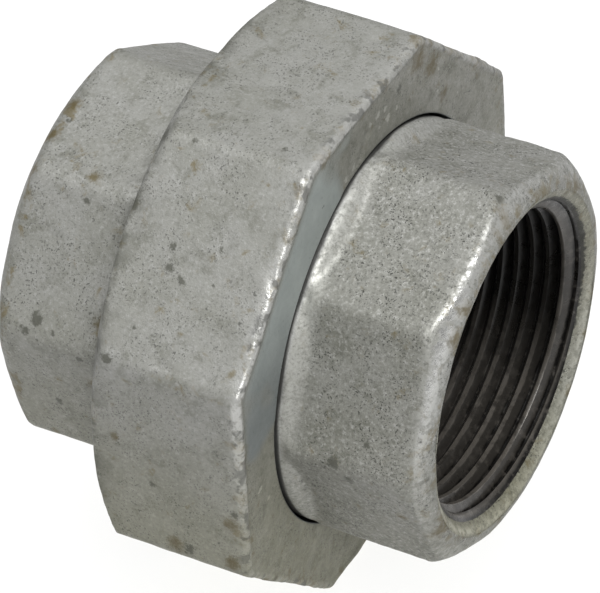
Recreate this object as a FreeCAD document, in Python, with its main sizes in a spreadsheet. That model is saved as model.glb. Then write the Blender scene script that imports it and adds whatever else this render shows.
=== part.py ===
import FreeCAD, Part
import math
import os
import re

import Sketcher

# A 1-1/4 inch pipe union, in millimetres.  It holds two pipe ends together and lets them be taken apart.
#   thread_piece      the fixed end: pipe thread inside, union thread outside, octagonal grip
#   brass_seat_ring   the soft seat pressed into the thread piece
#   tail_piece        the loose end: pipe thread inside, octagonal grip, neck, flange and ball-shaped nose
#   union_nut         the octagonal ring nut that pulls the flange towards the thread piece
#
# The pipe's axis is X.  Every outline is drawn with its first number along the axis, from the thread
# piece's outer face, and its second number as a radius.  Each piece's Placement then puts the middle of the
# closed union at the origin, with one flat of the nut underneath.

SIZES = {
    # places along the axis
    "overall_length": 62.0,
    "tail_reach": 19.9,
    "nut_length": 21.8,
    "shoulder_thickness": 4.2,
    "flange_thickness": 4.1,
    "nose_length": 3.8,
    # union nut
    "nut_across_flats": 71.2,
    "nut_edge_round": 1.2,
    "nut_rim_round": 0.9,
    "nut_back_radius": 35.2,
    "nut_corner_depth": 2.6,
    "nut_hole_radius": 27.5,
    "nut_hole_bevel": 0.5,
    "nut_relief_radius": 32.0,
    "nut_relief_length": 4.2,
    "nut_mouth_bevel_depth": 1.0,
    "nut_mouth_bevel_rise": 1.325,
    # union thread, a straight one of 11 turns to the inch
    "union_pitch": 2.309,
    "union_thread_radius": 31.5,
    "union_thread_depth": 1.25,
    "thread_gap": 0.2,
    "flank_gap": 0.12,
    "thread_overcut": 0.12,
    "male_lead_bevel": 1.3,
    "male_thread_tail": 0.3,
    "male_relief_length": 1.2,
    "male_relief_depth": 0.4,
    "flange_to_thread_face": 1.2,
    # pipe thread, a taper one of 11.5 turns to the inch in a bore drilled straight
    "pipe_pitch": 2.2087,
    "pipe_bore_radius": 19.6,
    "pipe_bore_depth": 18.6,
    "pipe_thread_root_radius": 20.99,
    "pipe_thread_turns": 8,
    "pipe_thread_root_flat": 0.08,
    "pipe_taper_angle": 1.7899,
    "mouth_bevel": 1.5,
    "mouth_radius": 21.2,
    "tail_lip_depth": 1.15,
    "fixed_lip_depth": 0.4,
    "lip_slope": 1.5,
    "waterway_radius": 17.5,
    "waterway_slope_length": 1.29,
    # octagonal grips of the two ends
    "grip_across_flats": 50.5,
    "grip_edge_round": 3.5,
    "flare_foot_drop": 0.3,
    "fixed_grip_length": 16.75,
    "fixed_grip_flare": 2.0,
    "fixed_rim_round": 3.2,
    "fixed_end_radius": 23.2,
    "fixed_corner_depth": 2.8,
    "tail_grip_length": 18.35,
    "tail_rim_round": 1.8,
    "tail_end_radius": 24.6,
    "tail_corner_depth": 3.0,
    "grip_back_radius": 25.6,
    "grip_back_depth": 1.7,
    # tail piece
    "neck_radius": 26.8,
    "neck_flare_length": 3.6,
    "flange_radius": 29.9,
    "flange_bevel": 0.6,
    "nose_tip_radius": 19.2,
    "nose_root_radius": 22.8,
    "nose_ball_radius": 29.4,
    # brass seat ring
    "seat_outer_radius": 24.2,
    "seat_inner_radius": 18.2,
    "seat_depth": 5.4,
    "seat_below_face": 0.2,
    "seat_contact_radius": 20.8,
    "seat_gap": 0.04,
    # how far each piece is turned about the pipe's axis, from a flat underneath
    "nut_turn": 0.0,
    "tail_turn": 22.0,
    "thread_piece_turn": 11.5,
}

# Places along the axis, as formulas of the sizes.
NUT_FRONT = "(overall_length - tail_reach)"
NUT_BACK = f"({NUT_FRONT} - nut_length)"
SHOULDER = f"({NUT_FRONT} - shoulder_thickness)"
FLANGE_BACK = f"({SHOULDER} - flange_thickness)"
NOSE_TIP = f"({FLANGE_BACK} - nose_length)"
TAIL_GRIP_BACK = "(overall_length - tail_grip_length)"
BALL_CENTRE = f"({NOSE_TIP} + sqrt(nose_ball_radius ^ 2 - nose_tip_radius ^ 2))"
SEAT_LINE = f"({BALL_CENTRE} - sqrt(nose_ball_radius ^ 2 - seat_contact_radius ^ 2) - seat_gap)"
FIXED_FACE = f"({FLANGE_BACK} - flange_to_thread_face)"
MALE_THREAD_END = f"({NUT_BACK} - male_thread_tail)"
MALE_RELIEF_END = f"({MALE_THREAD_END} - male_relief_length)"
MALE_ROOT = "(union_thread_radius - union_thread_depth)"
NUT_BORE = f"({MALE_ROOT} + thread_gap)"
HALF_FLAT = "(union_pitch / 4 - union_thread_depth * tan(30) / 2)"
FLARE_FOOT = "(grip_across_flats / 2 - flare_foot_drop)"

CHECK_SHARE = 0.0005  # a cut must take away at least this share of the piece
CLEAR = 1.0  # how far a cut's outline runs past the surface it opens
OVERLAP = 1.0  # how deep an added outline starts below the waterway's wall, which is cut later
NEAR_RIM = 3.0  # how far inside a flat's distance the edges of a rim are looked for
SIDES = 8

doc = FreeCAD.newDocument("pipe_union")
sheet = doc.addObject("Spreadsheet::Sheet", "sizes")
for row, (name, size) in enumerate(SIZES.items(), start=1):
    sheet.set(f"A{row}", name)
    sheet.set(f"B{row}", str(size))
    sheet.setAlias(f"B{row}", name)
doc.recompute()


def formula(text):
    """The formula with each size's name led by the sheet's name."""
    return re.sub(r"[a-z_]{4,}", lambda m: "sizes." + m[0] if m[0] in SIZES else m[0], str(text))


def value(text):
    """The number that a formula gives now."""
    return float(sheet.evalExpression(formula(text)))


def new_body(name, turn):
    """A body for one piece, placed with the union's middle at the origin."""
    body = doc.addObject("PartDesign::Body", name)
    body.Label = name
    body.Placement = FreeCAD.Placement(
        FreeCAD.Vector(-value("overall_length / 2"), 0, 0),
        FreeCAD.Rotation(FreeCAD.Vector(1, 0, 0), value(turn)),
    )
    body.setExpression("Placement.Base.x", formula("-overall_length / 2"))
    return body


def new_sketch(body, name, role):
    """An empty sketch on one of the body's own origin planes."""
    sketch = body.newObject("Sketcher::SketchObject", name)
    plane = next(item for item in body.Origin.OriginFeatures if item.Role == role)
    sketch.AttachmentSupport = [(plane, "")]
    sketch.MapMode = "FlatFace"
    return sketch


def hold(sketch, side, point, along, radius):
    """Hold one end of a side at a place given by two formulas."""
    for kind, text, axis in (("DistanceX", along, -2), ("DistanceY", radius, -1)):
        if abs(value(text)) < 1e-9:
            sketch.addConstraint(Sketcher.Constraint("PointOnObject", side, point, axis))
            continue
        index = sketch.addConstraint(Sketcher.Constraint(kind, -1, 1, side, point, value(text)))
        sketch.setExpression(f"Constraints[{index}]", formula(text))


def outline(body, name, corners, arcs=None):
    """A closed outline of (along, radius) corners.  arcs gives, for a side's number, its (radius, along and
    radius of its centre) where that side is an arc."""
    sketch = new_sketch(body, name, "XZ_Plane")
    places = [FreeCAD.Vector(value(a), value(r), 0) for a, r in corners]
    count = len(places)
    arcs = arcs or {}
    backwards = {}
    for side in range(count):
        start, end = places[side], places[(side + 1) % count]
        if side not in arcs:
            sketch.addGeometry(Part.LineSegment(start, end), False)
            continue
        radius, along, out = arcs[side]
        centre = FreeCAD.Vector(value(along), value(out), 0)
        first = math.atan2(start.y - centre.y, start.x - centre.x)
        last = math.atan2(end.y - centre.y, end.x - centre.x)
        backwards[side] = (last - first) % (2 * math.pi) > math.pi
        if backwards[side]:
            first, last = last, first
        circle = Part.Circle(centre, FreeCAD.Vector(0, 0, 1), value(radius))
        sketch.addGeometry(Part.ArcOfCircle(circle, first, last), False)
    ends = {side: (2, 1) if backwards.get(side) else (1, 2) for side in range(count)}
    for side in range(count):
        after = (side + 1) % count
        sketch.addConstraint(Sketcher.Constraint("Coincident", side, ends[side][1], after, ends[after][0]))
    for side, (along, radius) in enumerate(corners):
        # a corner that starts an arc is held by the end of the straight side before it
        before = (side - 1) % count
        held = (before, ends[before][1]) if side in arcs else (side, 1)
        hold(sketch, *held, along, radius)
    for side in arcs:
        index = sketch.addConstraint(Sketcher.Constraint("Radius", side, value(arcs[side][0])))
        sketch.setExpression(f"Constraints[{index}]", formula(arcs[side][0]))
    return sketch


def octagon(body, name, across_flats):
    """A regular octagon about the axis with one side underneath."""
    sketch = new_sketch(body, name, "YZ_Plane")
    apothem = value(across_flats) / 2
    corner = apothem / math.cos(math.pi / SIDES)
    angles = [2 * math.pi / SIDES * (step + 0.5) for step in range(SIDES)]
    places = [FreeCAD.Vector(corner * math.cos(a), corner * math.sin(a), 0) for a in angles]
    for side in range(SIDES):
        sketch.addGeometry(Part.LineSegment(places[side], places[(side + 1) % SIDES]), False)
    circle = Part.Circle(FreeCAD.Vector(0, 0, 0), FreeCAD.Vector(0, 0, 1), corner)
    round_outside = sketch.addGeometry(circle, True)
    sketch.addConstraint(Sketcher.Constraint("Coincident", round_outside, 3, -1, 1))
    index = sketch.addConstraint(Sketcher.Constraint("Radius", round_outside, corner))
    sketch.setExpression(f"Constraints[{index}]", formula(f"{across_flats} / 2 / cos(180 / {SIDES})"))
    for side in range(SIDES):
        sketch.addConstraint(Sketcher.Constraint("Coincident", side, 2, (side + 1) % SIDES, 1))
        sketch.addConstraint(Sketcher.Constraint("PointOnObject", side, 1, round_outside))
    for side in range(1, SIDES):
        sketch.addConstraint(Sketcher.Constraint("Equal", 0, side))
    sketch.addConstraint(Sketcher.Constraint("Horizontal", 1))
    return sketch


def settle(body, feature):
    """Make a feature the body's last one, recompute, and stop if it failed."""
    body.Tip = feature
    doc.recompute()
    bad = [state for state in feature.State if state in ("Invalid", "Error")]
    if bad or feature.Shape.isNull() or not feature.Shape.isValid():
        raise RuntimeError(f"{body.Label}: {feature.Label} failed")
    return feature


def revolve(body, name, corners, arcs=None):
    """Material with an outline turned about the axis."""
    feature = body.newObject("PartDesign::Revolution", name)
    feature.Profile = outline(body, name + "_outline", corners, arcs)
    feature.ReferenceAxis = (feature.Profile[0], ["H_Axis"])
    feature.Angle = 360
    return settle(body, feature)


def turn_away(body, name, corners, arcs=None):
    """A cut with an outline turned about the axis, as on a lathe."""
    before = body.Tip.Shape.Volume
    feature = body.newObject("PartDesign::Groove", name)
    feature.Profile = outline(body, name + "_outline", corners, arcs)
    feature.ReferenceAxis = (feature.Profile[0], ["H_Axis"])
    feature.Angle = 360
    settle(body, feature)
    check_cut(body, name, before)
    return feature


def check_cut(body, name, before):
    """Stop if a cut took nothing away, or left more than one solid."""
    shape = body.Tip.Shape
    if shape.Volume > before * (1 - CHECK_SHARE) or len(shape.Solids) != 1:
        raise RuntimeError(f"{body.Label}: {name} went from {before:.0f} to {shape.Volume:.0f} mm3")


def turn_corners(body, name, place, inward, across_flats, radius, depth):
    """Turn an octagonal bar's corners down towards one end, to a sphere about a point on the axis.
    The corners come down to the radius at the end's place, and the turning reaches the depth inwards."""
    outside = f"({place} {'-' if inward > 0 else '+'} {CLEAR})"
    sign = "+" if inward > 0 else "-"
    back = f"({place} {sign} {depth})"
    full = f"({across_flats} / 2 / cos(180 / {SIDES}))"
    centre_depth = f"(({full} ^ 2 - {radius} ^ 2 + {depth} ^ 2) / (2 * {depth}))"
    turn_away(body, name, [
        (outside, radius),
        (place, radius),
        (back, full),
        (back, f"{full} + {CLEAR}"),
        (outside, f"{full} + {CLEAR}"),
    ], arcs={
        1: (f"sqrt({radius} ^ 2 + {centre_depth} ^ 2)", f"({place} {sign} {centre_depth})", "0"),
    })


def octagon_bar(body, name, across_flats, start, length):
    """An octagonal bar along the axis."""
    feature = body.newObject("PartDesign::Pad", name)
    feature.Profile = octagon(body, name + "_outline", across_flats)
    feature.Profile[0].AttachmentOffset = FreeCAD.Placement(
        FreeCAD.Vector(0, 0, value(start)), FreeCAD.Rotation()
    )
    feature.Profile[0].setExpression("AttachmentOffset.Base.z", formula(start))
    feature.setExpression("Length", formula(length))
    return settle(body, feature)


def round_edges(body, name, radius, wanted):
    """Round the last feature's edges that pass a test."""
    base = body.Tip
    edges = [f"Edge{i}" for i, edge in enumerate(base.Shape.Edges, start=1) if wanted(edge)]
    feature = body.newObject("PartDesign::Fillet", name)
    feature.Base = (base, edges)
    feature.setExpression("Radius", formula(radius))
    return settle(body, feature)


def middle(edge):
    """The point half-way along an edge."""
    return edge.valueAt((edge.FirstParameter + edge.LastParameter) / 2)


def along_axis(edge):
    """Whether an edge runs along the pipe."""
    run = edge.Vertexes[-1].Point - edge.Vertexes[0].Point
    return abs(run.x) > 0.9 * edge.Length


def flat_at(place, least_radius):
    """A test for edges that lie in the plane at one place along the axis, outside a radius."""
    def test(edge):
        point = middle(edge)
        ends = [abs(vertex.Point.x - value(place)) for vertex in edge.Vertexes]
        return max(ends) < 1e-4 and math.hypot(point.y, point.z) > value(least_radius)
    return test


def cut_thread(body, name, corners, pitch, height, taper="0", backwards=False):
    """A right-hand screw groove: the outline's section swept along a helix about the axis."""
    before = body.Tip.Shape.Volume
    feature = body.newObject("PartDesign::SubtractiveHelix", name)
    feature.Profile = outline(body, name + "_outline", corners)
    feature.ReferenceAxis = (feature.Profile[0], ["H_Axis"])
    feature.Mode = "pitch-height-angle"
    feature.setExpression("Pitch", formula(pitch))
    feature.setExpression("Height", formula(height))
    feature.setExpression("Angle", formula(taper))
    feature.Reversed = backwards
    settle(body, feature)
    check_cut(body, name, before)
    return feature


def thread_section(middle_place, root, edge, half_root_flat, slope="tan(30)"):
    """The four corners of a groove's section, from its root to just past the surface it is cut in."""
    half_edge = f"({half_root_flat} + abs({edge} - {root}) * {slope})"
    return [
        (f"{middle_place} - {half_root_flat}", root),
        (f"{middle_place} + {half_root_flat}", root),
        (f"{middle_place} + {half_edge}", edge),
        (f"{middle_place} - {half_edge}", edge),
    ]


def pipe_socket(body, end, inward, lip):
    """The drilled bore with its sloping lip and bevelled mouth, and the taper pipe thread.
    inward is +1 where going into the piece goes up along the axis, and -1 where it goes down."""
    sign = "+" if inward > 0 else "-"
    mouth = f"({end} {sign} {lip})"
    deep = f"({mouth} {sign} pipe_bore_depth)"
    bevel_end = f"({mouth} {sign} mouth_bevel)"
    # the bore's floor slopes down to the waterway and is carried on past its wall
    inside = f"(waterway_radius - {CLEAR})"
    steepness = "(waterway_slope_length / (pipe_bore_radius - waterway_radius))"
    slope = f"({steepness} * (pipe_bore_radius - {inside}))"
    floor = f"({mouth} {sign} (pipe_bore_depth + {slope}))"
    turn_away(body, "pipe_bore", [
        (end, inside),
        (end, f"mouth_radius + lip_slope * {lip}"),
        (mouth, "mouth_radius"),
        (bevel_end, "pipe_bore_radius"),
        (deep, "pipe_bore_radius"),
        (floor, inside),
    ])
    # the groove starts one turn outside the mouth and grows shallower inwards
    start = f"({mouth} {'-' if inward > 0 else '+'} pipe_pitch)"
    root = "(pipe_thread_root_radius + pipe_pitch * tan(pipe_taper_angle))"
    edge = "(pipe_bore_radius - thread_overcut)"
    cut_thread(
        body, "pipe_thread",
        thread_section(start, root, edge, "(pipe_thread_root_flat * pipe_pitch / 2)"),
        "pipe_pitch", "pipe_pitch * (pipe_thread_turns + 1)",
        taper="-pipe_taper_angle",
        backwards=inward < 0,
    )


def make_nut():
    """The ring nut: an octagon with a turned back edge, a shoulder at the front and a thread inside."""
    body = new_body("union_nut", "nut_turn")
    octagon_bar(body, "nut_block", "nut_across_flats", NUT_BACK, "nut_length")
    round_edges(body, "nut_edges", "nut_edge_round", along_axis)
    round_edges(body, "nut_front_rim", "nut_rim_round",
                flat_at(NUT_FRONT, f"nut_across_flats / 2 - {NEAR_RIM}"))
    turn_corners(body, "nut_back_corners", NUT_BACK, 1, "nut_across_flats", "nut_back_radius",
                 "nut_corner_depth")
    relief_start = f"({SHOULDER} - nut_relief_length)"
    mouth_end = f"({NUT_BACK} + nut_mouth_bevel_depth)"
    turn_away(body, "nut_bore", [
        (f"{NUT_BACK} - nut_mouth_bevel_depth", "0"),
        (f"{NUT_BACK} - nut_mouth_bevel_depth", f"{NUT_BORE} + 2 * nut_mouth_bevel_rise"),
        (mouth_end, NUT_BORE),
        (relief_start, NUT_BORE),
        (relief_start, "nut_relief_radius"),
        (SHOULDER, "nut_relief_radius"),
        (SHOULDER, "nut_hole_radius"),
        (f"{NUT_FRONT} - nut_hole_bevel", "nut_hole_radius"),
        (f"{NUT_FRONT} + nut_hole_bevel", "nut_hole_radius + 2 * nut_hole_bevel"),
        (f"{NUT_FRONT} + nut_hole_bevel", "0"),
    ])
    # the nut's groove is the space that the other thread's ridge needs, half a turn on from its groove
    half_root = f"({HALF_FLAT} + flank_gap - thread_gap * tan(30))"
    cut_thread(
        body, "nut_thread",
        thread_section(f"({NUT_BACK} - union_pitch / 2)", "(union_thread_radius + thread_gap)",
                       f"({NUT_BORE} - thread_overcut)", half_root),
        "union_pitch", f"{relief_start} - {NUT_BACK} + 1.5 * union_pitch",
    )
    return body


def make_tail():
    """The tail piece: nose and flange behind the nut's shoulder, neck through its hole, and the grip."""
    body = new_body("tail_piece", "tail_turn")
    octagon_bar(body, "grip", "grip_across_flats", TAIL_GRIP_BACK, "tail_grip_length")
    round_edges(body, "grip_edges", "grip_edge_round", along_axis)
    round_edges(body, "grip_rim", "tail_rim_round",
                flat_at("overall_length", f"grip_across_flats / 2 - {NEAR_RIM}"))
    turn_corners(body, "end_corners", "overall_length", -1, "grip_across_flats", "tail_end_radius",
                 "tail_corner_depth")
    turn_corners(body, "grip_back_corners", TAIL_GRIP_BACK, 1, "grip_across_flats", "grip_back_radius",
                 "grip_back_depth")
    flare_end = f"({TAIL_GRIP_BACK} + neck_flare_length)"
    flare_drop = f"(neck_radius - {FLARE_FOOT})"
    flare_round = f"((neck_flare_length ^ 2 + {flare_drop} ^ 2) / (2 * {flare_drop}))"
    revolve(body, "neck_and_flange", [
        (NOSE_TIP, f"waterway_radius - {OVERLAP}"),
        (NOSE_TIP, "nose_tip_radius"),
        (FLANGE_BACK, "nose_root_radius"),
        (FLANGE_BACK, "flange_radius - flange_bevel"),
        (f"{FLANGE_BACK} + flange_bevel", "flange_radius"),
        (SHOULDER, "flange_radius"),
        (SHOULDER, "neck_radius"),
        (TAIL_GRIP_BACK, "neck_radius"),
        (flare_end, FLARE_FOOT),
        (flare_end, f"waterway_radius - {OVERLAP}"),
    ], arcs={
        1: ("nose_ball_radius", BALL_CENTRE, "0"),
        7: (flare_round, flare_end, f"{FLARE_FOOT} + {flare_round}"),
    })
    turn_away(body, "waterway", [
        (f"{NOSE_TIP} - {CLEAR}", "0"),
        (f"{NOSE_TIP} - {CLEAR}", "waterway_radius"),
        (f"overall_length + {CLEAR}", "waterway_radius"),
        (f"overall_length + {CLEAR}", "0"),
    ])
    pipe_socket(body, "overall_length", -1, "tail_lip_depth")
    return body


def make_thread_piece():
    """The thread piece: octagonal grip, flare, and the union thread round the seat's pocket."""
    body = new_body("thread_piece", "thread_piece_turn")
    octagon_bar(body, "grip", "grip_across_flats", "0.0", "fixed_grip_length + fixed_grip_flare")
    round_edges(body, "grip_edges", "grip_edge_round", along_axis)
    round_edges(body, "grip_rim", "fixed_rim_round", flat_at("0", f"grip_across_flats / 2 - {NEAR_RIM}"))
    turn_corners(body, "end_corners", "0.0", 1, "grip_across_flats", "fixed_end_radius",
                 "fixed_corner_depth")
    # the barrel's back spreads from the grip along a sphere about a point on the axis
    relief = f"({MALE_ROOT} - male_relief_depth)"
    spread = f"({MALE_RELIEF_END} - fixed_grip_length)"
    centre_depth = f"(({relief} ^ 2 - {FLARE_FOOT} ^ 2 + {spread} ^ 2) / (2 * {spread}))"
    revolve(body, "thread_barrel", [
        ("fixed_grip_length", f"waterway_radius - {OVERLAP}"),
        ("fixed_grip_length", FLARE_FOOT),
        (MALE_RELIEF_END, relief),
        (MALE_THREAD_END, relief),
        (f"{MALE_THREAD_END} + union_thread_depth + male_relief_depth", "union_thread_radius"),
        (f"{FIXED_FACE} - male_lead_bevel", "union_thread_radius"),
        (FIXED_FACE, "union_thread_radius - male_lead_bevel"),
        (FIXED_FACE, f"waterway_radius - {OVERLAP}"),
    ], arcs={
        1: (f"sqrt({FLARE_FOOT} ^ 2 + {centre_depth} ^ 2)", f"(fixed_grip_length + {centre_depth})", "0"),
    })
    turn_away(body, "waterway", [
        (f"-{CLEAR}", "0"),
        (f"-{CLEAR}", "waterway_radius"),
        (f"{FIXED_FACE} - seat_depth", "waterway_radius"),
        (f"{FIXED_FACE} - seat_depth", "seat_outer_radius"),
        (f"{FIXED_FACE} + {CLEAR}", "seat_outer_radius"),
        (f"{FIXED_FACE} + {CLEAR}", "0"),
    ])
    pipe_socket(body, "0.0", 1, "fixed_lip_depth")
    # the turn of the whole piece about the axis is taken out of the thread's start, to keep it in mesh
    start = f"({NUT_BACK} - union_pitch * 2 + union_pitch * (thread_piece_turn - nut_turn) / 360)"
    cut_thread(
        body, "male_thread",
        thread_section(start, MALE_ROOT, "(union_thread_radius + thread_overcut)", HALF_FLAT),
        "union_pitch", f"{FIXED_FACE} - {start} + union_pitch",
    )
    return body


def make_seat_ring():
    """The brass ring: a press fit in the thread piece, with a 45 degree seat for the ball-shaped nose."""
    body = new_body("brass_seat_ring", "thread_piece_turn")
    back = f"({FIXED_FACE} - seat_depth)"
    # the seat's line crosses seat_contact_radius at SEAT_LINE and rises one for one
    low = f"({SEAT_LINE} - (seat_contact_radius - seat_inner_radius))"
    front = f"({FIXED_FACE} - seat_below_face)"
    high = f"(seat_contact_radius + {front} - {SEAT_LINE})"
    revolve(body, "ring", [
        (back, "seat_inner_radius"),
        (back, "seat_outer_radius"),
        (front, "seat_outer_radius"),
        (front, high),
        (low, "seat_inner_radius"),
    ])
    return body


pieces = [make_nut(), make_tail(), make_thread_piece(), make_seat_ring()]
doc.recompute()

for item in doc.Objects:
    if "Invalid" in item.State or "Error" in item.State:
        raise RuntimeError(f"{item.Label} is in state {item.State}")
for piece in pieces:
    if piece.Shape.isNull() or not piece.Shape.isValid() or len(piece.Shape.Solids) != 1:
        raise RuntimeError(f"{piece.Label} isn't one valid solid")

os.makedirs("parts", exist_ok=True)
for piece in pieces:
    piece.Shape.exportStep(f"parts/{piece.Label}.step")
    print(f"{piece.Label}: {piece.Shape.Volume:.0f} mm3, {piece.Shape.BoundBox}")
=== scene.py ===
import math

import bpy
import numpy as np
from mathutils import Matrix, Vector, noise


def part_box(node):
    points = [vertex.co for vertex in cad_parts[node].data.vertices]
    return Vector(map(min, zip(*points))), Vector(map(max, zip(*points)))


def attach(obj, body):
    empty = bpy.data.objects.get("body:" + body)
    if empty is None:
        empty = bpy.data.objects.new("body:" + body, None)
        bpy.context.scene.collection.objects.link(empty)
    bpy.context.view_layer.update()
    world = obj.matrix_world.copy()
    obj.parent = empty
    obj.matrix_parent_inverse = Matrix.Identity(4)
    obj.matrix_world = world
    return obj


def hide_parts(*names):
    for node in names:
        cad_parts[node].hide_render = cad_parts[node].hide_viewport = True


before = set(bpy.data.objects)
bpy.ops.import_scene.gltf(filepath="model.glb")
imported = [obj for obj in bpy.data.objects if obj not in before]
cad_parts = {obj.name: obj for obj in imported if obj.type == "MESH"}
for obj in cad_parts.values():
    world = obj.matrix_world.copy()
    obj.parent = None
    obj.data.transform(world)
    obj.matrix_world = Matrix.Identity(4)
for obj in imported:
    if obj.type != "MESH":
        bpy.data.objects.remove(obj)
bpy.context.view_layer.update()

# A galvanised iron pipe union on a white floor.  Lengths here are millimetres until a mesh is made.
# The pipe's axis is X.  Angles go right-handed about +X from +Y, so 90 is straight up.
MM = 0.001

NUT_BACK, NUT_FRONT = (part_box("union_nut")[i][0] / MM for i in (0, 1))
TAIL_NOSE, TAIL_END = (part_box("tail_piece")[i][0] / MM for i in (0, 1))
FIXED_END, FIXED_FACE = (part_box("thread_piece")[i][0] / MM for i in (0, 1))
# the cast skin's bumps reach a little below the nut's true flat
FLOOR_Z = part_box("union_nut")[0][2] / MM - 0.12

# ring nut: an octagon with its back corners turned off, a hole, a shoulder, a relief and a thread
NUT_APOTHEM = 35.6
NUT_CORNER_R = NUT_APOTHEM / math.cos(math.pi / 8)
NUT_CORNER_ROUND = 2.6
NUT_RIM = 0.8
NUT_BACK_R, NUT_TURNED_LENGTH = 35.2, 2.6
NUT_PROUD = 1.1
NUT_HOLE_R = 27.3
NUT_HOLE_BEVEL = 0.15
SHOULDER = NUT_FRONT - 4.2
NUT_RELIEF_R = 32.0
NUT_RELIEF_START = SHOULDER - 4.2
NUT_THREAD_BORE_R, NUT_THREAD_ROOT_R, NUT_ROOT_HALF = 30.45, 31.7, 0.22094

# both ends: octagonal grips that stand turned from the nut by some degrees
GRIP_APOTHEM = 25.25
GRIP_CORNER_R = GRIP_APOTHEM / math.cos(math.pi / 8)
GRIP_ROUND = 3.5
TAIL_TURN, TAIL_RIM, TAIL_LIP = 22.0, 1.8, 1.15
FIXED_TURN, FIXED_RIM, FIXED_LIP = 11.5, 3.2, 0.4
FIXED_GRIP_LENGTH = 16.75
WATERWAY_R = 17.5
WATERWAY_SLOPE = 1.29

# tail piece's nose, flange and neck, and the thread piece's thread and pocket
NOSE_BALL_R, NOSE_TIP_R = 29.4, 19.2
FLANGE_R, FLANGE_THICK = 29.9, 4.1
NECK_R = 26.8
MALE_ROOT_R, MALE_CREST_R, MALE_ROOT_HALF = 30.25, 31.5, 0.21641
POCKET_R, POCKET_DEPTH = 24.2, 5.4

# threads
UNION_PITCH = 2.309
PIPE_PITCH = 2.2087
PIPE_TURNS = 9
PIPE_BORE_R = 19.6
PIPE_ROOT_R = 20.99
PIPE_BORE_DEPTH = 18.6
MOUTH_R = 21.2
MOUTH_BEVEL = 1.5
TAPER = math.tan(math.radians(1.7899))
TAN30 = math.tan(math.radians(30))

# material slots of every casting's mesh
CAST, THREAD = 0, 1

# stains on the castings: place along the axis, angle round it, size and kind, and for a stain on an end
# face its distance from the axis
NUT_SPOTS = (
    (-4.8, 113, 0.55, "soot", 0), (6.0, 109, 0.6, "soot", 0), (4.5, 104, 0.35, "soot", 0),
    (-9.6, 113, 1.3, "soot", 0), (-10.0, 127, 1.2, "soot", 0), (-9.8, 156, 1.4, "soot", 0),
    (-7.5, 157, 0.9, "soot", 0), (-3.5, 133, 0.7, "soot", 0), (-3.0, 137, 0.9, "soot", 0),
    (-1.0, 139, 0.8, "soot", 0), (3.0, 131, 0.5, "soot", 0), (3.2, 138, 0.4, "soot", 0),
    (-5.0, 150, 0.5, "soot", 0), (1.0, 200, 1.5, "rust", 0), (2.6, 200, 1.1, "soot", 0),
    (9.0, 200, 1.4, "rust", 0), (8.8, 190, 1.3, "rust", 0), (9.6, 187, 0.7, "soot", 0),
    (-7.0, 176, 0.8, "rust", 0), (-2.0, 186, 0.6, "soot", 0), (9.9, 162, 0.9, "soot", 0),
    (11.5, 68, 2.2, "rust", 35.2), (11.6, 61, 2.0, "rust", 33.9), (11.4, 76, 0.9, "soot", 33),
    (10.2, 57, 1.4, "rust", 37), (11.6, 50, 1.3, "rust", 30),
    (11.0, 89, 0.6, "chalk", 31.6), (11.0, 85.5, 0.7, "chalk", 31.6), (11.0, 82, 0.6, "chalk", 31.7),
    (11.0, 84.5, 0.6, "chalk", 29.6), (11.0, 80.5, 0.7, "chalk", 29.9), (11.0, 76.5, 0.6, "chalk", 30.2),
    (11.0, 98, 0.6, "chalk", 28.6), (11.0, 102, 0.7, "chalk", 28.4),
    (11.3, 57, 0.5, "chalk", 33.2), (11.3, 56, 0.6, "chalk", 31.6), (11.3, 54, 0.5, "chalk", 30.2),
    (11.4, 44, 0.5, "chalk", 32.2), (11.4, 42, 0.5, "chalk", 30.8), (11.0, 186, 0.8, "chalk", 31.5),
    (11.0, 192, 0.6, "chalk", 30.0),
)
TAIL_SPOTS = (
    (30.2, 93, 1.2, "rust", 0), (30.6, 99, 0.8, "rust", 0), (30.4, 124, 1.3, "rust", 0),
    (30.9, 133, 1.6, "rust", 24), (29.0, 90, 0.7, "soot", 0), (19.0, 178, 1.2, "soot", 0),
    (21.0, 183, 1.1, "soot", 0), (23.0, 170, 0.7, "soot", 0), (30.9, 40, 1.5, "rust", 24),
    (30.9, 12, 1.3, "rust", 24), (27.0, 196, 1.0, "rust", 0), (30.6, 205, 1.3, "rust", 0),
    (11.9, 137, 0.5, "chalk", 0), (12.0, 88, 1.0, "soot", 0), (11.8, 139, 0.7, "soot", 0),
    (11.8, 170, 0.7, "soot", 0),
)
FIXED_SPOTS = (
    (-23.6, 164, 1.3, "soot", 0), (-25.0, 168, 0.9, "soot", 0), (-21.0, 166, 0.6, "soot", 0),
    (-20.4, 128, 0.6, "soot", 0), (-20.6, 121, 1.1, "rust", 0), (-29.0, 100, 1.2, "rust", 0),
    (-29.2, 112, 1.2, "rust", 0), (-29.3, 124, 1.1, "rust", 0), (-14.8, 160, 1.0, "rust", 0),
    (-15.6, 182, 1.3, "rust", 0), (-17.0, 172, 0.7, "soot", 0), (-14.0, 140, 0.8, "soot", 0),
    (-28.0, 106, 0.6, "soot", 0), (-22.0, 196, 0.7, "soot", 0),
)


# ---------------------------------------------------------------- outlines

def degrees_from(theta, angle):
    """Degrees round the axis from an angle, from -180 to 180."""
    return (np.degrees(theta) - angle + 180) % 360 - 180


def facing(theta, angle, width):
    """1 at an angle round the axis, fading to 0 on both sides of it."""
    return np.exp(-(degrees_from(theta, angle) / width) ** 2)


def columns(turn, per_side):
    """Angles round the axis, closer together at an octagon's corners."""
    u = np.linspace(-1, 1, per_side, endpoint=False)
    side = 22.5 * np.sign(u) * np.abs(u) ** 1.3
    corners = 22.5 + 45 * np.arange(8) + turn
    return np.radians((corners[:, None] + side[None, :]).ravel())


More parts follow.
